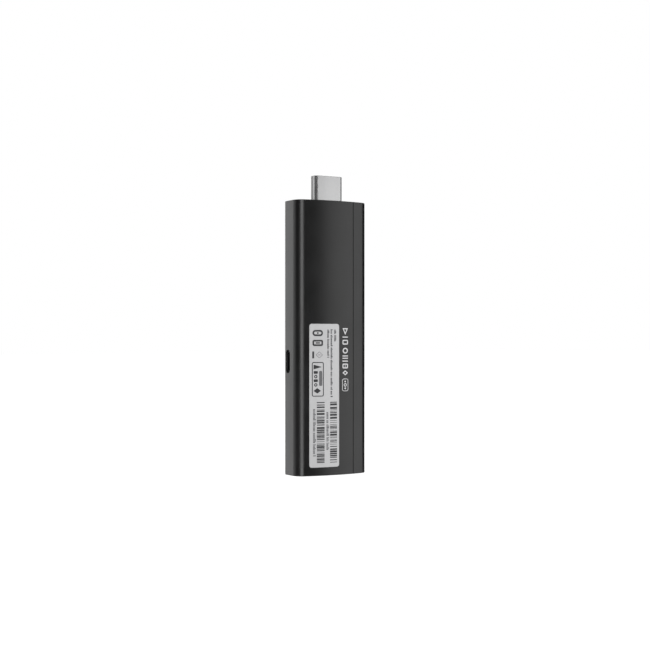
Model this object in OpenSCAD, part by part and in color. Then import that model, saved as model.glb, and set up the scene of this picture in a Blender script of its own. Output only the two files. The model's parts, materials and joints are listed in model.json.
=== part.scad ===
// Streaming media player in stick form: a slim two-shell housing that stands on its plain end,
// with a full-size video plug on its top end and a power port in its left side.
// Millimetres. +Z runs along the stick towards the plug, -Y faces the rear (label side),
// +Y faces the front, -X is the power-port side. The origin is the middle of the bottom end.

/* [Housing] */
// Length of the housing, without the plug
body_len = 120; // [116:1:124]
// Width across the two narrow sides
body_w = 35.8; // [35:0.1:37]
// Thickness from the rear crown to the front crown
body_t = 16.6; // [16:0.1:18]
// Radius of the gently crowned rear face
rear_crown_r = 68; // [60:1:90]
// Radius of the flatter front face
front_crown_r = 90; // [70:1:120]
// Radius of the slightly bowed narrow sides
side_bow_r = 250; // [150:10:400]
// Corner radius between rear face and sides
rear_corner_r = 4.6; // [3.5:0.1:5]
// Corner radius between front face and sides
front_corner_r = 3; // [2.5:0.1:4]
// Wall thickness of both shells
wall = 1.3; // [1.1:0.1:1.5]

/* [Parting line] */
// Distance of each lengthwise seam from the middle plane
seam_x = 9.57; // [9:0.01:10.5]
// Width of the visible seam groove
seam_gap = 0.26; // [0.15:0.01:0.4]
// Overlap of the hidden lap joint under each seam
seam_lip = 1; // [0.6:0.1:1.3]

/* [Video plug] */
// Width of the plug shell (full-size video plug)
plug_w = 13.9; // [13.9:0.01:13.95]
// Thickness of the plug shell
plug_t = 4.45; // [4.45:0.01:4.5]
// Length of plug that stands out of the housing
plug_out = 11.25; // [10.5:0.05:12]
// Position of the plug's middle plane from front to rear
plug_y = -0.9; // [-1.2:0.1:-0.6]
// Sheet thickness of the plug shell
plug_sheet = 0.3; // [0.2:0.05:0.35]
// Size of the two cut corners on the rear side of the plug
plug_cut = 1.2; // [1:0.1:1.4]

/* [Power port] */
// Height of the port's centre above the bottom end
port_z = 49.67; // [46:0.01:54]
// Length of the opening in the side wall
port_len = 10; // [9.4:0.1:10.6]
// Width of the opening in the side wall
port_gap = 3.4; // [3.3:0.05:3.6]
// Chamfer around the opening
port_chamfer = 0.25; // [0.1:0.05:0.4]

/* [Rating label] */
// Width of the label across the rear face
label_w = 14.3; // [12:0.1:15]
// Height of the label along the stick
label_len = 62.4; // [50:0.1:64]
// Sideways position of the label's middle
label_x = -5.25; // [-6:0.05:-4.5]
// Height of the label's lower edge
label_z = 3.7; // [3:0.1:6]
// Thickness of the printed film
label_film = 0.12; // [0.08:0.01:0.2]

/* [Reset button] */
// Length of the button cap along the side
button_len = 6; // [5:0.1:7]
// Width of the button cap
button_w = 2.4; // [2:0.1:2.8]
// Height of the button above the bottom end
button_z = 49.67; // [46:0.01:54]

/* [Circuit board] */
// Width of the board
board_w = 29.2; // [28.6:0.1:29.4]
// Thickness of the board
board_t = 1; // [0.8:0.1:1.2]
// Height of the board's front face above the middle plane
board_y = 0.7; // [0.6:0.05:0.8]

/* [Hidden] */
$fn = 96;

far = 60;                    // larger than any cross-section, for cutting regions
hair = 0.005;                // how far a corner disc stands past the arcs it blends
slip = 0.05;                 // gap left between pieces that slide together
board_back = board_y - board_t;
board_foot = 4;
board_top = body_len - 12;
screw_spots = [[-7.2, 9], [11, 9], [11, 98]];
screw_r = 0.8;
screw_head_r = 1.5;
screw_head_h = 1;
screw_len = 5;
boss_r = 2.1;
label_bed = label_film - 0.04;  // the film stands a little proud of its bed
label_corner = 1.1;
snap_z = [16, 57, 98];
snap_len = 7;
snap_rise = 0.22;
rib_z = [12, 34, 66, 98];
rib_t = 1.2;
press_pad_z = [26, 94];
plug_slack = 0.12;           // around the plug, in the housing's end wall
guide_ring_y = 4.4;
holder_z = body_len - wall - 4.2;
led_x = 2;
led_z = 15;
led_h = 0.7;
guide_r = 0.9;
port_y = board_y + 1.58;     // middle of the 3.16 mm tall receptacle standing on the board
usb_w = 8.94;
usb_h = 3.16;
usb_sheet = 0.25;
usb_mouth_x = -body_w / 2 + 0.6;
usb_depth = 7.3;
usb_legs = [2, 5.4];         // distance of the legs from the mouth
usb_leg_w = 0.8;
usb_leg_t = 0.24;
usb_leg_z = usb_w / 2 - 0.13;
plug_base = body_len - 10;
plug_tip = body_len + plug_out;
contact_pitch = 1;
contact_w = 0.45;
contact_t = 0.15;
contact_row = 1;             // height of each contact row from the plug's middle plane
button_y = port_y - 0.2;
button_face_x = body_w / 2 - 0.1;
button_gap = 0.12;           // around the cap, in the side wall
flange_x = 15.5;             // inner face of the cap's flange
flange_t = 0.7;
flange_rim = 0.65;
shield_w = 27;
sheet_steel = 0.2;
shield_z0 = 38;
shield_z1 = 84;
shield_h = 1.7;
shield_bar_z = 60;           // bar between the two windows of the shield frame
shield_mid = (shield_z0 + shield_z1) / 2;
shield_len = shield_z1 - shield_z0;
shield_top = board_back - shield_h - sheet_steel;
processor_z = 71;
processor_h = 1.1;
lid_pad_h = 1;
wifi_x = -4;
wifi_z = 89;
wifi_board_h = 0.6;
switch_len = 4.6;
switch_x0 = 10.9;
switch_x1 = 14.3;
stem_w = 2;
stem_h = 1;
stem_gap = 0.1;

// ---- outlines -------------------------------------------------------------------------

function unit(v) = v / norm(v);

// Centre of the corner disc that touches two larger discs from inside
function meet(p, rp, q, rq) =
    let (d = norm(q - p),
         a = (rp * rp - rq * rq + d * d) / (2 * d),
         h = sqrt(rp * rp - a * a),
         u = (q - p) / d)
    p + a * u + h * [-u.y, u.x];

// One quarter of the housing section: crowned face, rounded corner, bowed side. The corner disc
// stands out by a hair, so that every pair of arcs truly crosses instead of only touching.
module quarter(crown, corner, w, t, bow) {
    face = [0, t / 2 - crown];
    side = [w / 2 - bow, 0];
    c = meet(side, bow + hair - corner, face, crown + hair - corner);
    past_face = c + unit(c - face) * 2 * corner;
    past_side = c + unit(c - side) * 2 * corner;
    intersection() {
        translate(face) circle(crown, $fn = 720);
        translate(side) circle(bow, $fn = 720);
        union() {
            polygon([[0, 0], [past_side.x, 0], past_side, c, past_face, [0, past_face.y]]);
            translate(c) circle(corner);
        }
    }
}

// The whole housing section, shrunk by inset on every side
module section(inset = 0) {
    w = body_w - 2 * inset;
    t = body_t - 2 * inset;
    bow = side_bow_r - inset;
    for (turn = [0, 1]) mirror([turn, 0]) {
        quarter(front_crown_r - inset, front_corner_r - inset, w, t, bow);
        mirror([0, 1]) quarter(rear_crown_r - inset, rear_corner_r - inset, w, t, bow);
    }
}

// The side of a Z-shaped split that belongs to one shell (way 1 is rear, -1 is front)
module z_split(first_x, mid_y, last_x, way) {
    f = far * way;
    polygon([[-f, -f], [first_x, -f], [first_x, mid_y], [last_x, mid_y], [last_x, f], [-f, f]]);
}

module box_between(low, high) {
    translate(low) cube(high - low);
}

// Two tangent points and the centre of an arc that rounds corner q
function rounding(p, q, s, r) =
    let (u = unit(p - q), v = unit(s - q), half = acos(u * v) / 2)
    [q + u * r / tan(half), q + v * r / tan(half), q + unit(u + v) * r / sin(half)];

// A convex outline whose corners are true arcs
module rounded(points, radii) {
    n = len(points);
    cuts = [for (i = [0:n - 1])
            rounding(points[(i + n - 1) % n], points[i], points[(i + 1) % n], radii[i])];
    polygon([for (c = cuts) each [c[0], c[1]]]);
    for (i = [0:n - 1]) translate(cuts[i][2]) circle(radii[i], $fn = 48);
}

module rounded_rect(w, h, r) {
    a = w / 2;
    b = h / 2;
    rounded([[a, b], [-a, b], [-a, -b], [a, -b]], [r, r, r, r]);
}

module stadium(length, width) {
    square([length - width, width], center = true);
    for (s = [-1, 1]) translate([s * (length - width) / 2, 0]) circle(width / 2);
}

// Stands an outline drawn in (z, y) up in the side wall and extrudes it along +X
module along_x(x, y, z, depth) {
    translate([x, y, z]) rotate([90, 0, 90]) rotate([0, 0, 90]) mirror([0, 1]) linear_extrude(depth)
        children();
}

// Extrudes an outline drawn in (x, z) from y towards +Y
module along_y(y, depth) {
    translate([0, y + depth, 0]) rotate([90, 0, 0]) linear_extrude(depth) children();
}

// A chip or block standing on the rear (side -1) or front (side 1) face of the board
module on_board(x, z, w, len_z, h, side = 1, r = 0.15) {
    y = side > 0 ? board_y : board_back - h;
    along_y(y, h) translate([x, z]) rounded_rect(w, len_z, r);
}

// ---- housing --------------------------------------------------------------------------

module plug_outline(inset = 0) {
    a = plug_w / 2 - inset;
    b = plug_t / 2 - inset;
    cut = plug_cut - 0.586 * inset;
    r = max(0.6 - inset, 0.2);
    translate([0, plug_y])
        rounded([[a, b], [-a, b], [-a, -b + cut], [-a + cut, -b], [a - cut, -b], [a, -b + cut]],
                [r, r, 0.2, 0.2, 0.2, 0.2]);
}

// One shell: outer half of the wall, inner half with its lap joint, and both end walls
module shell_walls(way) {
    half_gap = seam_gap / 2;
    linear_extrude(body_len) intersection() {
        difference() {
            section();
            section(wall / 2);
        }
        z_split(way * (seam_x - half_gap), 0, -way * (seam_x + half_gap), way);
    }
    translate([0, 0, wall]) linear_extrude(body_len - 2 * wall) intersection() {
        difference() {
            section(wall / 2);
            section(wall);
        }
        z_split(way * (seam_x + seam_lip), 0, -way * (seam_x + seam_lip + slip), way);
    }
    for (z = [0, body_len - wall]) translate([0, 0, z]) linear_extrude(wall) intersection() {
        section(wall / 2);
        z_split(way * (seam_x - half_gap), plug_y - way * slip, -way * (seam_x + half_gap), way);
    }
}

module plug_cutout() {
    translate([0, 0, body_len - 2 * wall]) linear_extrude(3 * wall) plug_outline(-plug_slack);
}

// The stadium-shaped mouth in the side wall, with a chamfered rim of true cones
module port_cutout() {
    straight = port_len - port_gap;
    along_x(-body_w, port_y, port_z, body_w / 2 + 3) stadium(port_len, port_gap);
    rim = port_gap / 2 + port_chamfer;
    for (s = [-1, 1]) translate([-body_w / 2, port_y, port_z + s * straight / 2])
        rotate([0, 90, 0]) cylinder(h = 2 * rim, r1 = rim, r2 = 0.001);
    translate([-body_w / 2, port_y, port_z - straight / 2])
        linear_extrude(straight) polygon([[0, -rim], [0, rim], [2 * rim, 0]]);
}

// Low ribs that stiffen the shell and hold the edges of the board
module edge_rib(z, way) {
    x = way * (board_w / 2 + 0.15);
    translate([0, 0, z]) linear_extrude(rib_t) intersection() {
        section(wall / 2);
        polygon([[x, board_y + 0.05], [way * far, board_y + 0.05], [way * far, 3], [x, 3]]);
    }
}

// Ridges on a shell's hidden lip, or with grow the slightly larger recesses that they snap into
module snap_ridges(way, grow = 0) {
    inner_x = seam_x + 0.25 - grow;
    outer_x = seam_x + seam_lip - 0.15 + grow;
    for (z = snap_z) translate([0, 0, z - grow]) linear_extrude(snap_len + 2 * grow) intersection() {
        difference() {
            section(wall / 2 - snap_rise - grow);
            section(wall / 2 + 0.1);
        }
        polygon([for (p = [[inner_x, -far], [outer_x, -far], [outer_x, 0], [inner_x, 0]]) way * p]);
    }
}

// A shelf across the housing that keeps the plug holder against the end wall
module holder_shelf(way) {
    edge_y = plug_y - way * (plug_t / 2 + 0.3);
    translate([0, 0, holder_z - 1.2]) linear_extrude(1.2) intersection() {
        section(wall / 2);
        polygon([[-8.5, edge_y], [8.5, edge_y], [8.5, -way * far], [-8.5, -way * far]]);
    }
}

module rear_shell() {
    color([0.05, 0.05, 0.055]) difference() {
        union() {
            shell_walls(1);
            snap_ridges(1);
            holder_shelf(1);
            for (z = rib_z) edge_rib(z, -1);
            // pads that press the board against its screw bosses
            for (z = press_pad_z) box_between([-12.4, -body_t / 2 + wall + 0.6, z],
                                              [-11.2, board_back, z + 3]);
        }
        plug_cutout();
        port_cutout();
        snap_ridges(-1, slip);
        // shallow bed for the rating label
        intersection() {
            difference() {
                translate([0, rear_crown_r - body_t / 2, 0]) cylinder(h = body_len, r = far + 40);
                translate([0, rear_crown_r - body_t / 2, -1])
                    cylinder(h = body_len + 2, r = rear_crown_r - label_bed, $fn = 720);
            }
            label_block(0.1);
        }
    }
}

module front_shell() {
    color([0.055, 0.055, 0.06]) difference() {
        union() {
            shell_walls(-1);
            snap_ridges(-1);
            holder_shelf(-1);
            for (z = rib_z) edge_rib(z, 1);
            for (spot = screw_spots) translate([spot.x, board_y, spot.y]) rotate([-90, 0, 0])
                cylinder(h = body_t / 2 - board_y - wall / 2 - 0.4, r = boss_r);
            // guide ring around the light guide
            translate([led_x, guide_ring_y, led_z]) rotate([-90, 0, 0])
                cylinder(h = body_t / 2 - guide_ring_y - wall / 2, r = guide_r + 0.9);
        }
        plug_cutout();
        snap_ridges(1, slip);
        for (spot = screw_spots) translate([spot.x, board_y - 1, spot.y]) rotate([-90, 0, 0])
            cylinder(h = screw_len + 0.6, r = screw_r);
        translate([led_x, 0, led_z]) rotate([-90, 0, 0]) cylinder(h = body_t, r = guide_r + slip);
        along_x(body_w / 2 - 3, button_y, button_z, 6)
            stadium(button_len + 2 * button_gap, button_w + 2 * button_gap);
    }
}

// ---- rating label ---------------------------------------------------------------------

// A block with the label's rounded outline, running from the middle plane out past the rear
module label_block(grow = 0) {
    along_y(-body_t, body_t) translate([label_x, label_z + label_len / 2])
        rounded_rect(label_w + 2 * grow, label_len + 2 * grow, label_corner + grow);
}

module rating_label() {
    bed_r = rear_crown_r - label_bed;
    color([0.76, 0.76, 0.77]) intersection() {
        translate([0, rear_crown_r - body_t / 2, 0]) difference() {
            cylinder(h = body_len, r = bed_r + label_film, $fn = 720);
            translate([0, 0, -1]) cylinder(h = body_len + 2, r = bed_r, $fn = 720);
        }
        label_block();
    }
}

// ---- video plug -----------------------------------------------------------------------

module hdmi_plug_shell() {
    leg_x = plug_w / 2 - plug_sheet;
    color([0.78, 0.78, 0.79]) difference() {
        union() {
            translate([0, 0, plug_base]) linear_extrude(plug_tip - plug_base) plug_outline();
            // solder legs that run down into notches of the board
            for (s = [0, 1]) mirror([s, 0])
                box_between([leg_x, board_back - 0.5, board_top - 3.5],
                            [plug_w / 2, board_y + 0.5, plug_base + 1]);
        }
        translate([0, 0, plug_base - 1]) linear_extrude(plug_tip) plug_outline(plug_sheet);
        // butt seam of the folded sheet, on the front side
        box_between([-slip, plug_y + 1, plug_base - 1], [slip, plug_y + plug_t, plug_tip + 1]);
    }
}

// Shared side profile of a contact: blade in the plug, bend, tail on one face of the board
module contact_profile(side) {
    blade = plug_y + side * contact_row;
    tail = side > 0 ? board_y : board_back;
    step = side * contact_t;
    foot_z = board_top - 3;
    bend_z = board_top + 0.05;
    root_z = board_top + 1.8;
    tip_z = plug_tip - 1.5;
    // drawn in (z, y)
    polygon([[foot_z, tail], [bend_z, tail], [root_z, blade], [tip_z, blade],
             [tip_z, blade + step], [root_z, blade + step], [bend_z, tail + step],
             [foot_z, tail + step]]);
}

module contact_row_of(side, count, first_x) {
    for (i = [0:count - 1])
        along_x(first_x + i * contact_pitch - contact_w / 2, 0, 0, contact_w) contact_profile(side);
}

module hdmi_contacts() {
    color([0.85, 0.66, 0.28]) {
        contact_row_of(1, 10, -4.5 * contact_pitch);
        contact_row_of(-1, 9, -4 * contact_pitch);
    }
}

module hdmi_insulator() {
    color([0.1, 0.1, 0.1]) difference() {
        translate([0, 0, plug_base]) linear_extrude(plug_tip - plug_base - 0.5)
            plug_outline(plug_sheet);
        // socket for the tongue of the mating receptacle
        box_between([-5.7, plug_y - contact_row, plug_tip - 9.3],
                    [5.7, plug_y + contact_row, plug_tip + 1]);
        for (i = [0:9])
            box_between([(i - 4.5) * contact_pitch - contact_w / 2, plug_y + contact_row, 0],
                        [(i - 4.5) * contact_pitch + contact_w / 2,
                         plug_y + contact_row + contact_t, plug_tip]);
        for (i = [0:8])
            box_between([(i - 4) * contact_pitch - contact_w / 2,
                         plug_y - contact_row - contact_t, 0],
                        [(i - 4) * contact_pitch + contact_w / 2, plug_y - contact_row, plug_tip]);
    }
}

// Soft holder that centres the plug between the two shells
module plug_holder() {
    color([0.12, 0.12, 0.13]) translate([0, 0, holder_z]) linear_extrude(4)
        difference() {
            translate([0, plug_y]) rounded_rect(plug_w + 4, plug_t + 3, 1);
            plug_outline();
        }
}

// ---- power port -----------------------------------------------------------------------

// The four legs of the receptacle from y0 to y1, or with grow their slots in the board
module usb_leg_blocks(grow, y0, y1) {
    half_t = usb_leg_t / 2 + grow;
    for (x = usb_legs, s = [-1, 1])
        box_between([usb_mouth_x + x - grow, y0, port_z + s * usb_leg_z - half_t],
                    [usb_mouth_x + x + usb_leg_w + grow, y1, port_z + s * usb_leg_z + half_t]);
}

module usb_c_shell() {
    color([0.5, 0.5, 0.52]) difference() {
        union() {
            along_x(usb_mouth_x, port_y, port_z, usb_depth) stadium(usb_w, usb_h);
            usb_leg_blocks(0, board_back, port_y);
        }
        along_x(usb_mouth_x - 1, port_y, port_z, usb_depth + 2)
            stadium(usb_w - 2 * usb_sheet, usb_h - 2 * usb_sheet);
    }
}

module usb_c_tongue() {
    inner_w = usb_w - 2 * usb_sheet;
    inner_h = usb_h - 2 * usb_sheet;
    color([0.08, 0.08, 0.08]) {
        along_x(usb_mouth_x + usb_depth - 1.2, port_y, port_z, 1.2) stadium(inner_w, inner_h);
        along_x(usb_mouth_x + 1, port_y, port_z, usb_depth - 1.5) rounded_rect(6.7, 0.7, 0.3);
    }
}

module usb_c_contacts() {
    color([0.85, 0.66, 0.28]) for (side = [-1, 1], i = [0:11])
        box_between([usb_mouth_x + 1.5, port_y + (side > 0 ? 0.35 : -0.4),
                     port_z + (i - 5.5) * 0.5 - 0.12],
                    [usb_mouth_x + usb_depth - 1.2, port_y + (side > 0 ? 0.4 : -0.35),
                     port_z + (i - 5.5) * 0.5 + 0.12]);
}

// ---- circuit board --------------------------------------------------------------------

module main_board() {
    leg_x = plug_w / 2 - plug_sheet - slip;
    height = board_top - board_foot;
    color([0.05, 0.16, 0.1]) difference() {
        along_y(board_back, board_t) translate([0, board_foot + height / 2])
            rounded_rect(board_w, height, 1.2);
        for (spot = screw_spots) translate([spot.x, board_back - 1, spot.y]) rotate([-90, 0, 0])
            cylinder(h = board_t + 2, r = screw_r + 0.15);
        for (s = [0, 1]) mirror([s, 0])
            box_between([leg_x, board_back - 1, board_top - 3.5 - slip],
                        [plug_w / 2 + slip, board_y + 1, board_top + 1]);
        usb_leg_blocks(slip, board_back - 1, board_y + 1);
    }
}

module processor() {
    color([0.09, 0.09, 0.1]) on_board(0, processor_z, 14, 14, processor_h, -1, 0.3);
}

module processor_pad() {
    color([0.55, 0.62, 0.7]) along_y(board_back - shield_h, shield_h - processor_h)
        translate([0, processor_z]) rounded_rect(12, 12, 0.5);
}

module memory_chips() {
    color([0.1, 0.1, 0.11]) for (x = [-6.2, 6.2]) on_board(x, 50, 10, 14, 1, -1, 0.2);
}

module flash_chip() {
    color([0.1, 0.1, 0.11]) on_board(3, 68, 11.5, 13, 1, 1, 0.2);
}

module shield_frame() {
    inner_w = shield_w - 2 * sheet_steel;
    inner_len = shield_len - 2 * sheet_steel;
    rim = 1.2;
    bar = 0.8;
    color([0.66, 0.67, 0.68]) difference() {
        along_y(board_back - shield_h, shield_h) translate([0, shield_mid])
            rounded_rect(shield_w, shield_len, 1);
        along_y(board_back - shield_h + sheet_steel, shield_h) translate([0, shield_mid])
            rounded_rect(inner_w, inner_len, 0.8);
        // windows over the processor and over the memory, with a bar between them
        along_y(board_back - 2 * shield_h, 2 * shield_h)
            for (end = [shield_z0, shield_z1]) translate([0, (shield_bar_z + end) / 2])
                square([shield_w - 2 * rim, abs(shield_bar_z - end) - bar - 2], center = true);
    }
}

module shield_lid() {
    outer_w = shield_w + 2 * sheet_steel;
    outer_len = shield_len + 2 * sheet_steel;
    color([0.7, 0.71, 0.72]) difference() {
        along_y(shield_top, 1.2) translate([0, shield_mid]) rounded_rect(outer_w, outer_len, 1.2);
        along_y(shield_top + sheet_steel, 3) translate([0, shield_mid])
            rounded_rect(shield_w, shield_len, 1);
    }
}

module lid_pad() {
    color([0.55, 0.62, 0.7]) along_y(shield_top - lid_pad_h, lid_pad_h) translate([0, 64])
        rounded_rect(20, 32, 0.5);
}

// Grooved aluminium plate on four feet, over the shield
module heat_spreader() {
    top = shield_top - lid_pad_h;
    plate = 1.6;
    groove = 0.6;
    foot = [1, 0.9];
    color([0.75, 0.76, 0.78]) {
        difference() {
            along_y(top - plate, plate) translate([0, shield_mid]) rounded_rect(25, 54, 1);
            for (x = [-9:3:9]) box_between([x - groove, top - plate - 1, 36],
                                           [x + groove, top - plate + groove, 86]);
        }
        for (x = [-11, 11], z = [35, 87])
            box_between([x - foot.x, top - 0.2, z - foot.y], [x + foot.x, board_back, z + foot.y]);
    }
}

// Heat-spreading film stuck to the inside of the rear shell
module graphite_sheet() {
    inner_r = rear_crown_r - wall;
    color([0.2, 0.2, 0.21]) intersection() {
        translate([0, rear_crown_r - body_t / 2, 0]) difference() {
            cylinder(h = body_len, r = inner_r, $fn = 720);
            translate([0, 0, -1]) cylinder(h = body_len + 2, r = inner_r - 0.15, $fn = 720);
        }
        along_y(-body_t, body_t) translate([-1, shield_mid]) rounded_rect(17, 56, 1);
    }
}

module wifi_board() {
    color([0.08, 0.2, 0.13]) on_board(wifi_x, wifi_z, 13, 12, wifi_board_h);
}

module wifi_can() {
    color([0.7, 0.71, 0.72]) along_y(board_y + wifi_board_h, 1.5)
        translate([wifi_x, wifi_z]) rounded_rect(12, 11, 0.6);
}

// Stamped antenna: a raised strip on two legs and a solder foot
module stamped_antenna(x, z, length) {
    top = board_y + 3.6;
    sheet = 0.25;
    leg = 1.2;
    half = 1.2;
    box_between([x - half, top - sheet, z], [x + half, top, z + length]);
    for (leg_z = [z, z + 4])
        box_between([x - half, board_y, leg_z], [x - half + sheet, top, leg_z + leg]);
}

module antenna_upper() {
    color([0.8, 0.78, 0.7]) stamped_antenna(-12.6, 70, 17);
}

module antenna_lower() {
    color([0.8, 0.78, 0.7]) stamped_antenna(12.8, 18, 15);
}

module power_chip() {
    color([0.1, 0.1, 0.11]) on_board(4.5, 48, 5, 5, 0.9);
}

module power_inductors() {
    color([0.3, 0.3, 0.32]) for (spot = [[-3, 38], [-3, 46], [4.5, 38], [-3, 54]])
        on_board(spot.x, spot.y, 4.2, 4.2, 2.1, 1, 0.8);
}

module ceramic_capacitors() {
    color([0.72, 0.58, 0.42]) {
        for (z = [35:2.2:57]) on_board(9.6, z, 1.6, 0.9, 0.8, 1, 0.1);
        for (x = [-8:2:8]) on_board(x, 31, 0.9, 1.6, 0.8, 1, 0.1);
        for (x = [-9:2:9]) on_board(x, 80.5, 0.6, 1.2, 0.6, -1, 0.1);
        for (z = [59:2.4:78]) on_board(-10.2, z, 1.2, 0.7, 0.7, -1, 0.1);
    }
}

module chip_resistors() {
    color([0.12, 0.12, 0.13]) {
        for (z = [60:1.6:78]) on_board(10.6, z, 1.1, 0.6, 0.4, -1, 0.05);
        for (x = [-7:1.4:7]) on_board(x, 26, 0.6, 1.1, 0.4, 1, 0.05);
        for (x = [-6:1.2:6]) on_board(x, 95.5, 0.6, 1.1, 0.4, -1, 0.05);
    }
}

module main_crystal() {
    color([0.74, 0.74, 0.75]) on_board(-9.8, 91, 2.5, 3.2, 0.8, -1, 0.5);
}

module surge_arrays() {
    color([0.1, 0.1, 0.11])
        for (x = [-4.5:3:4.5]) on_board(x, 100, 1.3, 2.6, 0.6, -1, 0.1);
}

module status_led() {
    color([0.95, 0.95, 0.9]) on_board(led_x, led_z, 1.6, 0.9, led_h, 1, 0.1);
}

// Clear stepped rod that carries the light from the board to the front face
module light_guide() {
    start = board_y + led_h + 0.1;
    color([0.85, 0.88, 0.9, 0.6]) translate([led_x, start, led_z]) rotate([-90, 0, 0]) {
        cylinder(h = body_t / 2 - 0.06 - start, r = guide_r);
        cylinder(h = 1.2, r = guide_r + 0.6);
    }
}

module board_screws() {
    color([0.6, 0.6, 0.62]) for (spot = screw_spots)
        translate([spot.x, board_back, spot.y]) rotate([-90, 0, 0]) difference() {
            union() {
                translate([0, 0, -screw_head_h]) cylinder(h = screw_head_h, r = screw_head_r);
                translate([0, 0, -0.2]) cylinder(h = screw_len + 0.2, r = screw_r);
            }
            // cross recess
            for (turn = [0, 90]) rotate([0, 0, turn]) translate([0, 0, -screw_head_h])
                cube([2, 0.4, 1], center = true);
        }
}

// ---- reset button ---------------------------------------------------------------------

module reset_switch_body() {
    color([0.68, 0.68, 0.69]) difference() {
        box_between([switch_x0, board_y, button_z - switch_len / 2],
                    [switch_x1, button_y + 1.3, button_z + switch_len / 2]);
        box_between([switch_x1 - 1.3, button_y - stem_h / 2 - stem_gap,
                     button_z - stem_w / 2 - stem_gap],
                    [switch_x1 + 1, button_y + stem_h / 2 + stem_gap,
                     button_z + stem_w / 2 + stem_gap]);
    }
}

module reset_switch_plunger() {
    color([0.85, 0.85, 0.83])
        box_between([switch_x1 - 0.8, button_y - stem_h / 2, button_z - stem_w / 2],
                    [flange_x, button_y + stem_h / 2, button_z + stem_w / 2]);
}

module reset_button() {
    color([0.04, 0.04, 0.045]) {
        along_x(flange_x, button_y, button_z, button_face_x - flange_x)
            stadium(button_len, button_w);
        along_x(flange_x, button_y, button_z, flange_t)
            stadium(button_len + 2 * flange_rim, button_w + 2 * flange_rim);
    }
}

rear_shell();
front_shell();
rating_label();
hdmi_plug_shell();
hdmi_insulator();
hdmi_contacts();
plug_holder();
usb_c_shell();
usb_c_tongue();
usb_c_contacts();
main_board();
processor();
processor_pad();
memory_chips();
flash_chip();
shield_frame();
shield_lid();
lid_pad();
heat_spreader();
graphite_sheet();
wifi_board();
wifi_can();
antenna_upper();
antenna_lower();
power_chip();
power_inductors();
ceramic_capacitors();
chip_resistors();
main_crystal();
surge_arrays();
status_led();
light_guide();
board_screws();
reset_switch_body();
reset_switch_plunger();
reset_button();
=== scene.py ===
"""Streaming media player: the looks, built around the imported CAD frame.

Shapes are drawn in millimetres in the part's own frame (+Z towards the plug, -Y the label side,
-X the port side) and scaled to metres when a piece is finished.
"""
import json
import math
import random

import bmesh
import bpy
from mathutils import Matrix, Vector


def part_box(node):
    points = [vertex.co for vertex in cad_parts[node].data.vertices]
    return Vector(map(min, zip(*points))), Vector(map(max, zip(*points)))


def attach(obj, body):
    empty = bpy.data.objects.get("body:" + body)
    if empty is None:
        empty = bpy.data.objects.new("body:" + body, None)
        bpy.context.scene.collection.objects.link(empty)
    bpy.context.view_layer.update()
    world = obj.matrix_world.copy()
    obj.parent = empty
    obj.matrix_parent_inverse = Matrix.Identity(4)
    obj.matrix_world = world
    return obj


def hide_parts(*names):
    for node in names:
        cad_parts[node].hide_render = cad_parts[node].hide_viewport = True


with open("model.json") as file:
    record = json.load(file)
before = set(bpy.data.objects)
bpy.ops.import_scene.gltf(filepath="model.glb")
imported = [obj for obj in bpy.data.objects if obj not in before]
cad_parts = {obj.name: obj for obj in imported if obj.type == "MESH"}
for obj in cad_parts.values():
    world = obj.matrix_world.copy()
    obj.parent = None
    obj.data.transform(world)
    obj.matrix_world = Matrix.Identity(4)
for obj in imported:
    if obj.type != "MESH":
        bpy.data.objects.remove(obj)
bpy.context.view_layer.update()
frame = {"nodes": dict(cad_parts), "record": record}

MM = 0.001
STICK = "stick"
KEY = "reset_key"


def cad_mm(node):
    """Lowest and highest corner of a CAD node, in millimetres."""
    low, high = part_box(node)
    return low / MM, high / MM


# ---- driving sizes, from the frame ------------------------------------------------------

rear_high = cad_mm("rear_shell")[1]
front_high = cad_mm("front_shell")[1]
plug_low, plug_high = cad_mm("hdmi_plug_shell")
label_low, label_high = cad_mm("rating_label")
usb_low, usb_high = cad_mm("usb_c_shell")
cap_low, cap_high = cad_mm("reset_button")
guide_low, guide_high = cad_mm("light_guide")
board_low, board_high = cad_mm("main_board")
holder_low = cad_mm("plug_holder")[0]
screw_high = cad_mm("board_screws")[1]

BODY_LEN = rear_high.z
HALF_W = front_high.x
HALF_T = round(front_high.y, 1)

# the housing section's radii, wall and parting line
REAR_CROWN, FRONT_CROWN, SIDE_BOW = 68.0, 90.0, 250.0
REAR_CORNER, FRONT_CORNER = 4.6, 3.0
WALL = 1.3
SEAM_X, SEAM_GAP, SEAM_LIP, SLIP = 9.57, 0.26, 1.0, 0.05
END_ROUND = 0.3            # fillet around both end faces
FACE_STEPS, CORNER_STEPS, SIDE_STEPS = 28, 26, 6
SHOULDER = 0.08            # rounding of the lips beside each seam

# plug: thickness, middle plane, cut corners, sheet, and the radii of its corners
PLUG_W = plug_high.x - plug_low.x
PLUG_T, PLUG_Y, PLUG_CUT, PLUG_SHEET = 4.45, -0.9, 1.2, 0.3
PLUG_ROUND, CUT_ROUND = 0.5, 0.25
PLUG_UNSHADED_BAND = 0.7           # band of the narrow sides beside the cut corners that keeps the plate's own tone; past it the sides carry painted shade
PLUG_DEPTH = 10.0          # how far the sleeve reaches into the housing
PLUG_RIM = 0.13            # rounding of the sleeve's rim

# power port: opening, rounded mouth, and the shell behind it
PORT_LEN, PORT_GAP, PORT_FLARE = 10.0, 3.4, 0.25
PORT_WIDTH, PORT_SHEET, PORT_RIM = 3.16, 0.25, 0.11
PORT_Y = (usb_high.y + board_high.y) / 2
PORT_Z = (usb_low.z + usb_high.z) / 2

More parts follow.
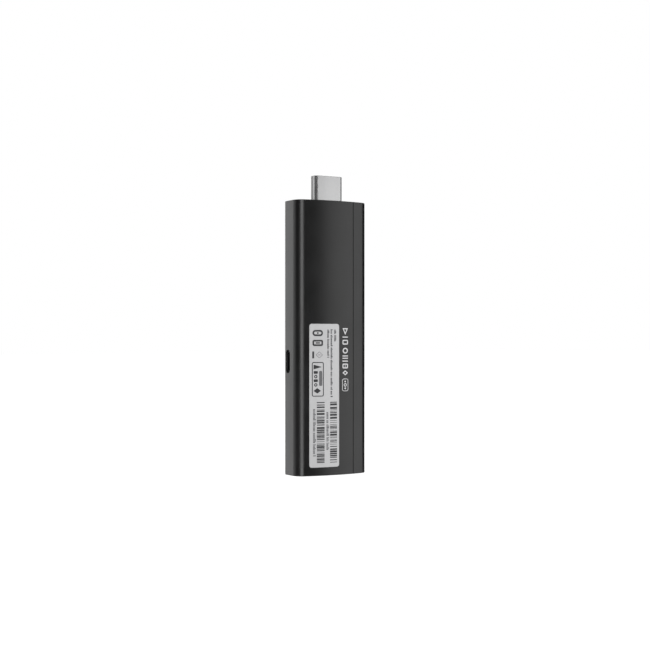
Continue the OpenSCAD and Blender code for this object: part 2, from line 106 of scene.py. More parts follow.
# reset cap and light guide
CAP_Y = (cap_low.y + cap_high.y) / 2
CAP_Z = (cap_low.z + cap_high.z) / 2
GUIDE_X = (guide_low.x + guide_high.x) / 2
GUIDE_Z = (guide_low.z + guide_high.z) / 2
GUIDE_R = 0.9
GUIDE_FLANGE, GUIDE_FLANGE_T = 0.6, 1.2
GUIDE_DOME = 0.16          # height of the domed end
CAP_FLANGE = 0.65          # how far the flange stands out around the cap
CAP_FLANGE_T = 0.7
CAP_LEN = cap_high.z - cap_low.z - 2 * CAP_FLANGE
CAP_WIDTH = cap_high.y - cap_low.y - 2 * CAP_FLANGE
CAP_GAP = 0.12
CAP_ROUND, CAP_CROWN = 0.32, 0.06

# label: depth of its bed in the rear face, film, corner radius, play around it, ink layer
LABEL_BED, LABEL_FILM, LABEL_CORNER = 0.08, 0.12, 1.1
LABEL_PLAY = 0.1
LABEL_PROUD = LABEL_FILM - LABEL_BED
LABEL_MID = Vector(((label_low.x + label_high.x) / 2, (label_low.z + label_high.z) / 2))
INK, INK_SUNK = 0.015, 0.005


# ---- outlines ---------------------------------------------------------------------------

def meet(p, rp, q, rq):
    """The crossing of two circles that lies left of the line from p to q."""
    d = (q - p).length
    a = (rp * rp - rq * rq + d * d) / (2 * d)
    u = (q - p) / d
    return p + u * a + Vector((-u.y, u.x)) * math.sqrt(rp * rp - a * a)


def arc(centre, radius, start, end, count, last=True):
    """(point, outward normal) pairs along an arc; angles in radians."""
    steps = [start + (end - start) * i / count for i in range(count + (1 if last else 0))]
    normals = [Vector((math.cos(a), math.sin(a))) for a in steps]
    return [(centre + n * radius, n) for n in normals]


def heading(v):
    """The direction of a flat vector, in radians."""
    return math.atan2(v.y, v.x)


def centres(crown, corner):
    """The centres of the housing section's three arcs: face, side and the corner between them."""
    face = Vector((0, HALF_T - crown))
    side = Vector((HALF_W - SIDE_BOW, 0))
    return face, side, meet(side, SIDE_BOW - corner, face, crown - corner)


def quarter(crown, corner):
    """The housing section from the middle of a face (+Y) round to the middle of the right side."""
    face, side, c = centres(crown, corner)
    on_face, on_side = heading(c - face), heading(c - side)
    return (arc(face, crown, math.pi / 2, on_face, FACE_STEPS, last=False)
            + arc(c, corner, on_face, on_side, CORNER_STEPS, last=False)
            + arc(side, SIDE_BOW, on_side, 0, SIDE_STEPS, last=False))


def flip(pairs, x, y):
    """Pairs mirrored by the signs x and y."""
    return [(Vector((p.x * x, p.y * y)), Vector((n.x * x, n.y * y))) for p, n in pairs]


def section():
    """The whole housing section, clockwise from the middle of the front face."""
    front, rear = quarter(FRONT_CROWN, FRONT_CORNER), quarter(REAR_CROWN, REAR_CORNER)
    side_right = [(Vector((HALF_W, 0)), Vector((1, 0)))]
    middle_rear = [(Vector((0, -HALF_T)), Vector((0, -1)))]
    right = front + side_right + flip(rear, 1, -1)[:0:-1]
    left = flip(right, -1, 1)[:0:-1]
    return right + middle_rear + left


def rounded(points, radii, steps=8):
    """A convex outline with rounded corners, as (point, outward normal) pairs.

    A point of radius 0 lies on a straight side; the points run counterclockwise.
    """
    pairs = []
    n = len(points)
    for i, radius in enumerate(radii):
        p, q, s = Vector(points[i - 1]), Vector(points[i]), Vector(points[(i + 1) % n])
        if radius == 0:
            run = (s - p).normalized()
            pairs.append((q, Vector((run.y, -run.x))))
            continue
        u, v = (p - q).normalized(), (s - q).normalized()
        half = math.acos(max(-1, min(1, u.dot(v)))) / 2
        centre = q + (u + v).normalized() * radius / math.sin(half)
        away = -(u + v).normalized()
        spread = math.pi / 2 - half
        turn = 1 if u.cross(v) < 0 else -1
        a = heading(away)
        pairs += arc(centre, radius, a - turn * spread, a + turn * spread, steps)
    return pairs


def rounded_rect(w, h, r, steps=8):
    """A rectangle around the origin, with rounded corners."""
    a, b = w / 2, h / 2
    return rounded([(a, b), (-a, b), (-a, -b), (a, -b)], [r] * 4, steps)


def stadium(length, width, steps=20):
    """A round-ended outline; its straight ends are a hair long, so that no two points coincide."""
    return rounded_rect(length, width, width / 2 - 1e-4, steps)


def plug_outline():
    """The plug's section, with two cut corners on the label side."""
    a, b = PLUG_W / 2, PLUG_T / 2
    corner = -b + PLUG_CUT
    # the narrow sides get a point where their painted shade begins
    shade_edge = corner + PLUG_UNSHADED_BAND
    pairs = rounded([(a, b), (-a, b), (-a, shade_edge), (-a, corner), (-a + PLUG_CUT, -b),
                     (a - PLUG_CUT, -b), (a, corner), (a, shade_edge)],
                    [PLUG_ROUND] * 2 + [0] + [CUT_ROUND] * 4 + [0])
    return [(p + Vector((0, PLUG_Y)), n) for p, n in pairs]


def face_y(x, inset=0.0, front=False):
    """Y of the rear (or front) face at x, that much below the surface."""
    crown = FRONT_CROWN if front else REAR_CROWN
    y = math.sqrt((crown - inset) ** 2 - x * x) + HALF_T - crown
    return y if front else -y


# ---- mesh helpers -----------------------------------------------------------------------

BEYOND = 1.0               # how far a cutter reaches past the surface
SLICE = 0.5                # spacing of the cuts that bend a flat shape


def piece(name, points, faces):
    """A mesh object from points in millimetres (scaled later by finish_piece)."""
    mesh = bpy.data.meshes.new(name)
    mesh.from_pydata([tuple(p) for p in points], [], faces)
    mesh.validate()
    bm = bmesh.new()
    bm.from_mesh(mesh)
    bmesh.ops.recalc_face_normals(bm, faces=bm.faces)
    bm.to_mesh(mesh)
    bm.free()
    obj = bpy.data.objects.new(name, mesh)
    bpy.context.scene.collection.objects.link(obj)
    return obj


def loft(name, rings, closed=False):
    """Quads between rings of equal size, with capped ends unless the rings form a closed tube."""
    n = len(rings[0])
    points = [p for ring in rings for p in ring]
    pairs = [(i, i + 1) for i in range(len(rings) - 1)] + ([(len(rings) - 1, 0)] if closed else [])
    faces = [(a * n + j, a * n + (j + 1) % n, b * n + (j + 1) % n, b * n + j)
             for a, b in pairs for j in range(n)]
    if not closed:
        faces += [tuple(range(n))[::-1], tuple((len(rings) - 1) * n + j for j in range(n))]
    return piece(name, points, faces)


def inset_ring(pairs, inset, place):
    """An outline moved inwards by inset and placed in space by place(x, y)."""
    return [place(*(p - n * inset)) for p, n in pairs]


def at_z(z):
    """Places an outline drawn in (x, y) at one z."""
    return lambda a, b: (a, b, z)


def at_x(x, y, z):
    """Places an outline drawn in (z, y) at one x."""
    return lambda a, b: (x, y + b, z + a)


def at_y(x, y, z):
    """Places an outline drawn in (x, z) at one y."""
    return lambda a, b: (x + a, y, z + b)


def prism(name, polygon, low, high):
    """A polygon in x and y, extruded along z."""
    return loft(name, [[(x, y, z) for x, y in polygon] for z in (low, high)])


def carve(body, tool, how="DIFFERENCE"):
    """Cuts tool out of body, or joins it on, and removes tool."""
    modifier = body.modifiers.new("carve", "BOOLEAN")
    modifier.object = tool
    modifier.operation = how
    modifier.solver = "EXACT"
    graph = bpy.context.evaluated_depsgraph_get()
    fresh = bpy.data.meshes.new_from_object(body.evaluated_get(graph))
    body.modifiers.clear()
    old, body.data = body.data, fresh
    bpy.data.meshes.remove(old)
    bpy.data.objects.remove(tool, do_unlink=True)


def quarter_round(radius, steps=6):
    """(inset, depth) pairs of a rounded edge, from the end face outwards to the side."""
    turns = [math.pi / 2 * i / steps for i in range(steps + 1)]
    return [(radius * (1 - math.sin(t)), radius * (1 - math.cos(t))) for t in turns]


def flared_hole(name, pairs, place, depth, flare):
    """A cutter for a hole with a rounded mouth; place(d) puts an outline d inside the surface."""
    mouth = quarter_round(flare)
    rings = [inset_ring(pairs, -flare, place(-BEYOND))]
    rings += [inset_ring(pairs, -grow, place(d)) for grow, d in mouth]
    rings.append(inset_ring(pairs, 0, place(depth)))
    return loft(name, rings)


def tube(name, pairs, place, low, high, sheet, rim):
    """A folded sheet tube between low and high, with a rounded rim at high; place(d) as at_z."""
    edge = [(inset, high - d) for inset, d in quarter_round(rim)][::-1]
    far_edge = [(sheet - inset, along) for inset, along in edge][::-1]
    profile = [(0, low)] + edge + far_edge + [(sheet, low)]
    return loft(name, [inset_ring(pairs, inset, place(along)) for inset, along in profile], True)


def box(name, low, high):
    """A block between two corners."""
    corners = [(low[0], low[1]), (high[0], low[1]), (high[0], high[1]), (low[0], high[1])]
    return prism(name, corners, low[2], high[2])


# ---- flat shapes for prints: (points in x and z, faces) ---------------------------------

def fill(outline):
    """The area inside an outline, as one face."""
    return list(outline), [tuple(range(len(outline)))]


def band(outer, inner):
    """The area between two outlines of equal size."""
    n = len(outer)
    faces = [(i, (i + 1) % n, n + (i + 1) % n, n + i) for i in range(n)]
    return list(outer) + list(inner), faces


def frame_of(pairs, centre, line):
    """The band between a rounded outline and the same outline moved inwards by line."""
    return band([tuple(p + centre) for p, n in pairs],
                [tuple(p - n * line + centre) for p, n in pairs])


def block(x, z, w, h):
    """A plain bar with its middle at x, z."""
    return fill([(x - w / 2, z - h / 2), (x + w / 2, z - h / 2),
                 (x + w / 2, z + h / 2), (x - w / 2, z + h / 2)])


def sliced(shape):
    """A flat shape cut every SLICE along x, so that it can follow the crowned face."""
    points, faces = shape
    bm = bmesh.new()
    verts = [bm.verts.new((x, 0, z)) for x, z in points]
    for face in faces:
        bm.faces.new([verts[i] for i in face])
    low, high = min(p[0] for p in points), max(p[0] for p in points)
    for i in range(math.ceil(low / SLICE), math.floor(high / SLICE) + 1):
        bmesh.ops.bisect_plane(bm, geom=bm.verts[:] + bm.edges[:] + bm.faces[:], dist=1e-4,
                               plane_co=(i * SLICE, 0, 0), plane_no=(1, 0, 0))
    bm.verts.index_update()
    flat = [(v.co.x, v.co.z) for v in bm.verts]
    cells = [tuple(v.index for v in f.verts) for f in bm.faces]
    bm.free()
    return flat, cells


def plates(name, shapes, low, high):
    """Thin plates that lie on the rear face, from depth low to depth high below its surface."""
    points, faces = [], []
    for shape in shapes:
        flat, cells = sliced(shape)
        start, n = len(points), len(flat)
        points += [(x, face_y(x, low), z) for x, z in flat]
        points += [(x, face_y(x, high), z) for x, z in flat]
        rim = {}
        for cell in cells:
            faces.append(tuple(start + i for i in cell))
            faces.append(tuple(start + n + i for i in cell[::-1]))
            for a, b in zip(cell, cell[1:] + cell[:1]):
                rim.setdefault(frozenset((a, b)), []).append((a, b))
        faces += [(start + a, start + n + a, start + n + b, start + b)
                  for (a, b), *shared in rim.values() if not shared]
    return piece(name, points, faces)


# ---- shading ----------------------------------------------------------------------------

NEAR = 0.01                # a point this close to the surface lies on it
SAME_WAY = 0.85            # least cosine between a face's own normal and the true one
BIG_FACE = 0.5             # a flat face of this area (mm2) keeps its own normal


def housing_normal(p):
    """The true surface normal of the housing at a point on its outside, or None away from it."""
    sx, sy = (1 if p.x >= 0 else -1), (1 if p.y >= 0 else -1)
    q = Vector((abs(p.x), abs(p.y)))
    crown, corner = (FRONT_CROWN, FRONT_CORNER) if p.y >= 0 else (REAR_CROWN, REAR_CORNER)
    face, side, c = centres(crown, corner)
    if heading(q - face) >= heading(c - face):
        centre, radius = face, crown
    elif heading(q - side) <= heading(c - side):
        centre, radius = side, SIDE_BOW
    else:
        centre, radius = c, corner
    inset = radius - (q - centre).length
    if inset > END_ROUND + NEAR or inset < -NEAR:
        return None
    n = (q - centre).normalized()
    end = END_ROUND - min(p.z, BODY_LEN - p.z)
    if end <= 0:
        return Vector((n.x * sx, n.y * sy, 0)) if abs(inset) < NEAR else None
    up = -1 if p.z < BODY_LEN / 2 else 1
    out = END_ROUND - inset
    return Vector((n.x * sx * out, n.y * sy * out, up * end)).normalized()


def shade(obj, angle, true_normal):
    """Smooth shading with sharp edges; true_normal(point) gives the exact normal where it can."""
    mesh = obj.data
    mesh.shade_smooth()
    mesh.set_sharp_from_angle(angle=math.radians(angle))
    if true_normal is None:
        return
    normals = [Vector(n.vector) for n in mesh.corner_normals]
    exact = [true_normal(v.co) for v in mesh.vertices]
    for polygon in mesh.polygons:
        fits = [exact[i] for i in polygon.vertices]
        if all(n is not None and n.dot(polygon.normal) > SAME_WAY for n in fits):
            for loop, n in zip(polygon.loop_indices, fits):
                normals[loop] = n
        elif polygon.area > BIG_FACE:
            for loop in polygon.loop_indices:
                normals[loop] = polygon.normal.copy()
    mesh.normals_split_custom_set(normals)


def finish_piece(obj, slot, material=None, body=STICK, stands_for=(), angle=35, true_normal=None):
    """Shades a piece, scales it to metres, paints it and hangs it under its body's empty.

    The material is the slot's own unless another one is named.
    """
    shade(obj, angle, true_normal)
    obj.data.transform(Matrix.Scale(MM, 4))
    obj.data.materials.clear()
    obj.data.materials.append(MATERIALS[material or slot])
    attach(obj, body)
    if stands_for:
        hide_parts(*stands_for)


# ---- materials --------------------------------------------------------------------------

GRAIN_DEPTH = 0.00002      # in metres
DRAWN = (1, 1, 0.06)       # grain drawn out along the stick


def node_material(name):
    """A new material with its node tree and its shader node."""
    material = bpy.data.materials.new(name)
    material.use_nodes = True
    tree = material.node_tree
    return material, tree, tree.nodes["Principled BSDF"]


def finish_material(name, colour, rough, metallic=0.0, vary=0.15, rough_vary=0.06, patch=180.0,
                    grain=6000.0, bump=0.15, stretch=(1, 1, 1), coat=0.0, coat_rough=0.1,
                    transmission=0.0, voronoi=False):
    """A moulded, plated or cast finish: soft patches of tone and gloss over a fine surface grain.

    patch and grain are noise scales (larger is finer), vary and rough_vary the swing around
    colour and rough.
    """
    material, tree, shader = node_material(name)
    nodes, links = tree.nodes, tree.links
    where = nodes.new("ShaderNodeTexCoord")
    scale = nodes.new("ShaderNodeMapping")
    scale.inputs["Scale"].default_value = stretch
    links.new(where.outputs["Object"], scale.inputs["Vector"])
    patches = nodes.new("ShaderNodeTexNoise")
    patches.inputs["Scale"].default_value = patch
    patches.inputs["Detail"].default_value = 3
    links.new(scale.outputs["Vector"], patches.inputs["Vector"])
    tone = nodes.new("ShaderNodeMix")
    tone.data_type = "RGBA"
    tone.inputs["A"].default_value = [c * (1 - vary) for c in colour] + [1]
    tone.inputs["B"].default_value = [min(1, c * (1 + vary)) for c in colour] + [1]
    links.new(patches.outputs["Fac"], tone.inputs["Factor"])
    links.new(tone.outputs["Result"], shader.inputs["Base Color"])
    gloss = nodes.new("ShaderNodeMapRange")
    gloss.inputs["From Min"].default_value = 0.3
    gloss.inputs["From Max"].default_value = 0.7
    gloss.inputs["To Min"].default_value = rough - rough_vary
    gloss.inputs["To Max"].default_value = rough + rough_vary
    links.new(patches.outputs["Fac"], gloss.inputs["Value"])
    links.new(gloss.outputs["Result"], shader.inputs["Roughness"])
    if voronoi:
        fine = nodes.new("ShaderNodeTexVoronoi")
        height = fine.outputs["Distance"]
    else:
        fine = nodes.new("ShaderNodeTexNoise")
        fine.inputs["Detail"].default_value = 2
        height = fine.outputs["Fac"]
    fine.inputs["Scale"].default_value = grain
    links.new(scale.outputs["Vector"], fine.inputs["Vector"])
    relief = nodes.new("ShaderNodeBump")
    relief.inputs["Strength"].default_value = bump
    relief.inputs["Distance"].default_value = GRAIN_DEPTH
    links.new(height, relief.inputs["Height"])
    links.new(relief.outputs["Normal"], shader.inputs["Normal"])
    shader.inputs["Metallic"].default_value = metallic
    shader.inputs["Coat Weight"].default_value = coat
    shader.inputs["Coat Roughness"].default_value = coat_rough
    shader.inputs["Transmission Weight"].default_value = transmission
    return material


FINISHES = {
    "shell_plastic": dict(colour=(0.0028, 0.0028, 0.0029), rough=0.325, vary=0.12, rough_vary=0.03,
                          patch=90, grain=5200, bump=0.22),
    "label_film": dict(colour=(0.365, 0.365, 0.369), rough=0.42, vary=0.04, patch=700, grain=9000,
                       bump=0.12, coat=0.35, coat_rough=0.25),
    "plug_plate": dict(colour=(0.425, 0.425, 0.427), rough=0.27, metallic=1, vary=0.04,
                       rough_vary=0.03, patch=120, grain=900, bump=0.04, stretch=DRAWN),
    # the plate made darker for the plug's narrow sides: painted shade, along with a rougher finish
    "plug_side_painted_shade": dict(colour=(0.34, 0.34, 0.342), rough=0.6, metallic=1, vary=0.05,
                      rough_vary=0.03, patch=120, grain=900, bump=0.06, stretch=DRAWN),
    "black_resin": dict(colour=(0.012, 0.012, 0.012), rough=0.45, grain=7000),
    "gold_plate": dict(colour=(0.83, 0.6, 0.24), rough=0.22, metallic=1, vary=0.08, grain=8000,
                       bump=0.05),
    "holder_rubber": dict(colour=(0.02, 0.02, 0.02), rough=0.7, grain=3500, bump=0.3),
    "port_plate": dict(colour=(0.05, 0.05, 0.052), rough=0.3, metallic=1, vary=0.06, grain=5000,
                       bump=0.06),
    "board_laminate": dict(colour=(0.012, 0.085, 0.045), rough=0.28, vary=0.25, patch=420,
                           grain=1400, bump=0.25, coat=0.5, voronoi=True),
    "chip_resin": dict(colour=(0.022, 0.022, 0.024), rough=0.55, patch=300, grain=6000, bump=0.35),
    "thermal_pad": dict(colour=(0.28, 0.35, 0.44), rough=0.6, patch=500, grain=2600, bump=0.4),
    "shield_steel": dict(colour=(0.6, 0.6, 0.61), rough=0.34, metallic=1, vary=0.08, patch=260,
                         grain=2200, bump=0.1, stretch=(1, 1, 0.15)),
    "spreader_metal": dict(colour=(0.74, 0.75, 0.77), rough=0.38, metallic=1, patch=300,
                           grain=1800, bump=0.2, stretch=(1, 1, 0.05)),
    "graphite_film": dict(colour=(0.05, 0.05, 0.055), rough=0.4, metallic=0.6, patch=600,
                          grain=4000, bump=0.3),
    "antenna_metal": dict(colour=(0.62, 0.58, 0.47), rough=0.3, metallic=1, patch=300, grain=2000,
                          bump=0.1),
    "ferrite": dict(colour=(0.06, 0.06, 0.065), rough=0.62, patch=900, grain=5000, bump=0.5),
    "capacitor_ceramic": dict(colour=(0.42, 0.29, 0.17), rough=0.45, vary=0.2, patch=900,
                              grain=5000, bump=0.3),
    "resistor_body": dict(colour=(0.03, 0.03, 0.035), rough=0.25, patch=900, grain=5000, coat=0.4),
    "led_body": dict(colour=(0.82, 0.74, 0.36), rough=0.25, patch=1500, grain=5000, coat=0.5),
    "guide_clear": dict(colour=(0.8, 0.83, 0.85), rough=0.16, vary=0.03, patch=900, grain=3000,
                        bump=0.05, transmission=0.85),
    "screw_steel": dict(colour=(0.42, 0.42, 0.44), rough=0.3, metallic=1, patch=800, grain=3000,
                        bump=0.15),
    "switch_metal": dict(colour=(0.5, 0.5, 0.52), rough=0.33, metallic=1, patch=800, grain=2500,
                         bump=0.1),
    "switch_stem": dict(colour=(0.7, 0.7, 0.66), rough=0.45, patch=800, grain=4000),
    "button_plastic": dict(colour=(0.010, 0.010, 0.0105), rough=0.3, patch=200, grain=5200,
                           bump=0.15),
    "label_ink": dict(colour=(0.018, 0.018, 0.02), rough=0.5, patch=1200, grain=9000),
    "grey_ink": dict(colour=(0.09, 0.09, 0.094), rough=0.5, patch=1200, grain=9000),
    "pale_ink": dict(colour=(0.46, 0.46, 0.465), rough=0.5, vary=0.06, patch=1200, grain=9000),
}
MATERIALS = {name: finish_material(name, **look) for name, look in FINISHES.items()}


# ---- housing ----------------------------------------------------------------------------

FAR = 60.0                 # larger than any cross-section
MORE = 0.1                 # overlap of a cutter with the space it opens into
OWN_EDGE = SEAM_X - SEAM_GAP / 2
FAR_EDGE = SEAM_X + SEAM_GAP / 2
TONGUE = SEAM_X + SEAM_LIP
END_LAP = 0.35             # depth of the seam groove in the end faces
HOLE_DEPTH, LAMP_DEPTH = 3, 5
MOUTH, PLUG_MOUTH = 0.12, 0.15     # rounding of the edges of small holes and of the plug's

# ribs beside the board, shelf behind the plug holder, pads under the board
RIB_Z, RIB_T, RIB_TOP = (12, 34, 66, 98), 1.2, 3.0
RIB_X = board_high.x + 0.15
SHELF_X, SHELF_GAP = 8.5, 0.3
PAD_Z, PAD_X, PAD_LEN, PAD_LOW = (26, 94), -12.4, 3, 1.9

# screw bosses at (x, z) with their pilot holes, and the ring around the light guide
BOSSES = ((-7.2, 9), (11, 9), (11, 98))
BOSS_R, PILOT_R, PILOT_MORE = 2.1, 0.8, 0.6
RING_LOW, RING_WALL = 4.4, 0.9


def face_arc(x0, x1, inset, front):
    """Points along a face from x0 to x1, that much below its surface."""
    count = 8
    xs = [x0 + (x1 - x0) * i / count for i in range(count + 1)]
    return [(x, face_y(x, inset, front)) for x in xs]


def shoulder(edge_x, way, front):
    """A cutter that rounds the lip of a shell beside its seam; the shell lies on the -way side."""
    out = BEYOND if front else -BEYOND
    lip = [(edge_x - way * inset, face_y(edge_x, d, front)) for inset, d in quarter_round(SHOULDER)]
    top = face_y(edge_x, 0, front) + out
    lip = lip[::-1] + [(edge_x - way * SHOULDER, top), (edge_x + way * MORE, top),
                       (edge_x + way * MORE, face_y(edge_x, SHOULDER, front))]
    return prism("shoulder", lip, -BEYOND, BODY_LEN + BEYOND)


def round_post(name, x, z, low, high, radius):
    """A round post or hole that stands along Y."""
    pairs = stadium(2 * radius, 2 * radius, 12)
    return loft(name, [inset_ring(pairs, 0, at_y(x, y, z)) for y in (low, high)])


def inner_supports(body, way):
    """The ribs and the shelf, the pads of the rear shell, the bosses and the ring of the front."""
    front = way < 0
    x0, x1 = sorted((-way * RIB_X, -way * (HALF_W - WALL / 2)))
    for z in RIB_Z:
        carve(body, box("rib", (x0, board_high.y + SLIP, z), (x1, RIB_TOP, z + RIB_T)), "UNION")
    y0, y1 = sorted((PLUG_Y - way * (PLUG_T / 2 + SHELF_GAP), face_y(SHELF_X, WALL / 2, front)))
    carve(body, box("shelf", (-SHELF_X, y0, holder_low.z - RIB_T), (SHELF_X, y1, holder_low.z)),
          "UNION")
    if not front:
        for z in PAD_Z:
            high = (PAD_X + RIB_T, board_low.y, z + PAD_LEN)
            carve(body, box("pad", (PAD_X, PAD_LOW - HALF_T, z), high), "UNION")
        return
    for x, z in BOSSES:
        carve(body, round_post("boss", x, z, board_high.y, face_y(x, WALL / 2, True), BOSS_R),
              "UNION")
        carve(body, round_post("pilot", x, z, board_low.y, screw_high.y + PILOT_MORE, PILOT_R))
    carve(body, round_post("ring", GUIDE_X, GUIDE_Z, RING_LOW, face_y(GUIDE_X, WALL / 2, True),
                           GUIDE_R + RING_WALL), "UNION")


def half_shell(name, way):
    """A half-shell with its lap joints: way 1 is the label half, -1 the other, half a turn round."""
    pairs = section()
    ends = quarter_round(END_ROUND)
    profile = ends + [(inset, BODY_LEN - d) for inset, d in ends[::-1]]
    body = loft(name, [inset_ring(pairs, inset, at_z(z)) for inset, z in profile])
    carve(body, loft("cavity", [inset_ring(pairs, WALL, at_z(z)) for z in (WALL, BODY_LEN - WALL)]))
    middle = PLUG_Y - way * SLIP
    keep = [(-FAR, -FAR), (TONGUE, -FAR), (TONGUE, way * middle), (-FAR_EDGE, way * middle),
            (-FAR_EDGE, FAR), (-FAR, FAR)]
    below, above = -BEYOND, BODY_LEN + BEYOND
    carve(body, prism("keep", [(way * x, way * y) for x, y in keep], below, above), "INTERSECT")
    # on its own face only the inner half of the wall goes on past the seam, as a tongue
    near, other = way < 0, way > 0
    own_lap = face_arc(way * OWN_EDGE, way * (TONGUE + MORE), WALL / 2, near)
    own_lap += [(way * (TONGUE + MORE), -way * FAR), (way * OWN_EDGE, -way * FAR)]
    carve(body, prism("own_lap", own_lap, below, above))
    # on the other face the inner half gives way to the other shell's tongue
    far_lap = face_arc(-way * (TONGUE + SLIP), way * (MORE - FAR_EDGE), WALL / 2, other)
    far_lap += [(way * (MORE - FAR_EDGE), middle), (-way * (TONGUE + SLIP), middle)]
    carve(body, prism("far_lap", far_lap, END_LAP, BODY_LEN - END_LAP))
    # the tongue stops short of both end faces
    for low, high in ((below, END_LAP + SLIP), (BODY_LEN - END_LAP - SLIP, above)):
        end_lap = [(OWN_EDGE, -FAR), (TONGUE + MORE, -FAR), (TONGUE + MORE, MORE + way * middle),
                   (OWN_EDGE, MORE + way * middle)]
        carve(body, prism("end_lap", [(way * x, way * y) for x, y in end_lap], low, high))
    carve(body, shoulder(way * OWN_EDGE, way, near))
    carve(body, shoulder(-way * FAR_EDGE, way, other))
    inner_supports(body, way)
    carve(body, flared_hole("plug_hole", plug_outline(), lambda d: at_z(BODY_LEN - d),
                            HOLE_DEPTH, PLUG_MOUTH))
    return body


def rear_housing():
    """The label half, with the port's mouth and the bed of the label."""
    body = half_shell("rear_housing", 1)
    carve(body, flared_hole("mouth", stadium(PORT_LEN, PORT_GAP),
                            lambda d: at_x(d - HALF_W, PORT_Y, PORT_Z), HOLE_DEPTH, PORT_FLARE))
    carve(body, plates("bed", [fill(label_corners(LABEL_PLAY))], -BEYOND, LABEL_BED))
    finish_piece(body, "shell_plastic", true_normal=housing_normal, stands_for=["rear_shell"])


def front_housing():
    """The plain half, with the openings of the reset cap and of the light guide."""
    body = half_shell("front_housing", -1)
    carve(body, flared_hole("key_hole", stadium(CAP_LEN + 2 * CAP_GAP, CAP_WIDTH + 2 * CAP_GAP),
                            lambda d: at_x(HALF_W - d, CAP_Y, CAP_Z), HOLE_DEPTH, MOUTH))
    lamp_width = 2 * GUIDE_R + 2 * SLIP
    carve(body, flared_hole("lamp_hole", stadium(lamp_width, lamp_width),
                            lambda d: at_y(GUIDE_X, HALF_T - d, GUIDE_Z), LAMP_DEPTH, MOUTH))
    finish_piece(body, "shell_plastic", true_normal=housing_normal, stands_for=["front_shell"])


# ---- connectors -------------------------------------------------------------------------

def plug_sleeve():
    """The folded sheet sleeve of the plug, with its butt seam and the legs on the board.

    The legs are a hair thinner than the sheet, so that no two faces coincide. The narrow sides
    are rougher than the rest and carry painted shade, a darker tone of the plate, apart from a
    band beside each cut corner.
    """
    base, tip, root = plug_low.z, plug_high.z, BODY_LEN - PLUG_DEPTH
    hair, overlap, leg_low, leg_high = 0.02, 1, board_low.y - 0.5, board_high.y - 0.2
    body = tube("plug_sleeve", plug_outline(), at_z, root, tip, PLUG_SHEET, PLUG_RIM)
    for side in (-1, 1):
        x0, x1 = sorted((side * (PLUG_W / 2 - PLUG_SHEET + hair), side * (PLUG_W / 2 - hair)))
        carve(body, box("leg", (x0, leg_low, base), (x1, leg_high, root + overlap)), "UNION")
    hollow = PLUG_Y + 1
    carve(body, box("seam", (-SLIP, hollow, base), (SLIP, PLUG_Y + PLUG_T, tip + BEYOND)))
    finish_piece(body, "plug_plate", angle=30, stands_for=["hdmi_plug_shell"])
    # faces on the narrow sides past the band beside the cut corners take the darker plate: painted
    # shade
    body.data.materials.append(MATERIALS["plug_side_painted_shade"])
    shade_edge = (PLUG_Y - PLUG_T / 2 + PLUG_CUT + PLUG_UNSHADED_BAND) * MM
    sideways = 0.95
    for face in body.data.polygons:
        if abs(face.normal.x) > sideways and face.center.y > shade_edge:
            face.material_index = 1


def port_shell():
    """The rolled shell of the receptacle, its mouth just inside the side wall."""
    mouth, back = -usb_low.x, -usb_high.x
    body = tube("port_shell", stadium(usb_high.z - usb_low.z, PORT_WIDTH),
                lambda d: at_x(-d, PORT_Y, PORT_Z), back, mouth, PORT_SHEET, PORT_RIM)
    finish_piece(body, "port_plate", angle=30, stands_for=["usb_c_shell"])


# ---- reset cap and light guide ----------------------------------------------------------

def reset_cap():
    """A flanged cap with a rounded rim and a slightly crowned face."""
    face, foot = cap_high.x, cap_low.x
    step = foot + CAP_FLANGE_T
    bevel, fillet = 0.1, 0.12
    profile = [(-CAP_FLANGE, foot), (-CAP_FLANGE, step - bevel), (-CAP_FLANGE + bevel, step),
               (-fillet, step), (0, step + fillet)]
    profile += [(inset, face - CAP_CROWN - d) for inset, d in quarter_round(CAP_ROUND, 8)[::-1]]
    # the crowned face, in rings that end a hair short of the middle line
    reach, rings = CAP_WIDTH / 2 - 0.05, 6
    for i in range(1, rings + 1):
        inset = CAP_ROUND + (reach - CAP_ROUND) * i / rings
        profile.append((inset, face - CAP_CROWN * (1 - i / rings) ** 2))
    pairs = stadium(CAP_LEN, CAP_WIDTH)
    body = loft("reset_cap", [inset_ring(pairs, inset, at_x(x, CAP_Y, CAP_Z))
                              for inset, x in profile])
    finish_piece(body, "button_plastic", body=KEY, angle=50, stands_for=["reset_button"])


def light_pipe():
    """A clear flanged pin with a domed end, set just under the front face."""
    start, end = guide_low.y, guide_high.y
    step, bevel, rings = start + GUIDE_FLANGE_T, 0.1, 7
    pairs = stadium(2 * GUIDE_R, 2 * GUIDE_R)
    profile = [(-GUIDE_FLANGE, start), (-GUIDE_FLANGE, step - bevel), (bevel - GUIDE_FLANGE, step),
               (0, step), (0, end - GUIDE_DOME)]
    turns = [math.pi / 2 * i / rings for i in range(1, rings + 1)]
    tip = 0.97 * GUIDE_R       # the last ring keeps a hair of radius
    profile += [(tip * (1 - math.cos(t)), end - GUIDE_DOME * (1 - math.sin(t))) for t in turns]
    body = loft("light_pipe", [inset_ring(pairs, inset, at_y(GUIDE_X, y, GUIDE_Z))
                               for inset, y in profile])
    finish_piece(body, "guide_clear", angle=50, stands_for=["light_guide"])


# ---- label and prints -------------------------------------------------------------------

def label_corners(grow=0.0):
    """The label's outline, grown outwards by grow."""
    w, h = label_high.x - label_low.x, label_high.z - label_low.z
    return [tuple(p + n * grow + LABEL_MID) for p, n in rounded_rect(w, h, LABEL_CORNER)]


def soften(obj, width, segments, angle):
    """A small bevel along the sharp edges, so that they catch the light."""
    bevel = obj.modifiers.new("soften", "BEVEL")
    bevel.width = width * MM
    bevel.segments = segments
    bevel.limit_method = "ANGLE"
    bevel.angle_limit = math.radians(angle)


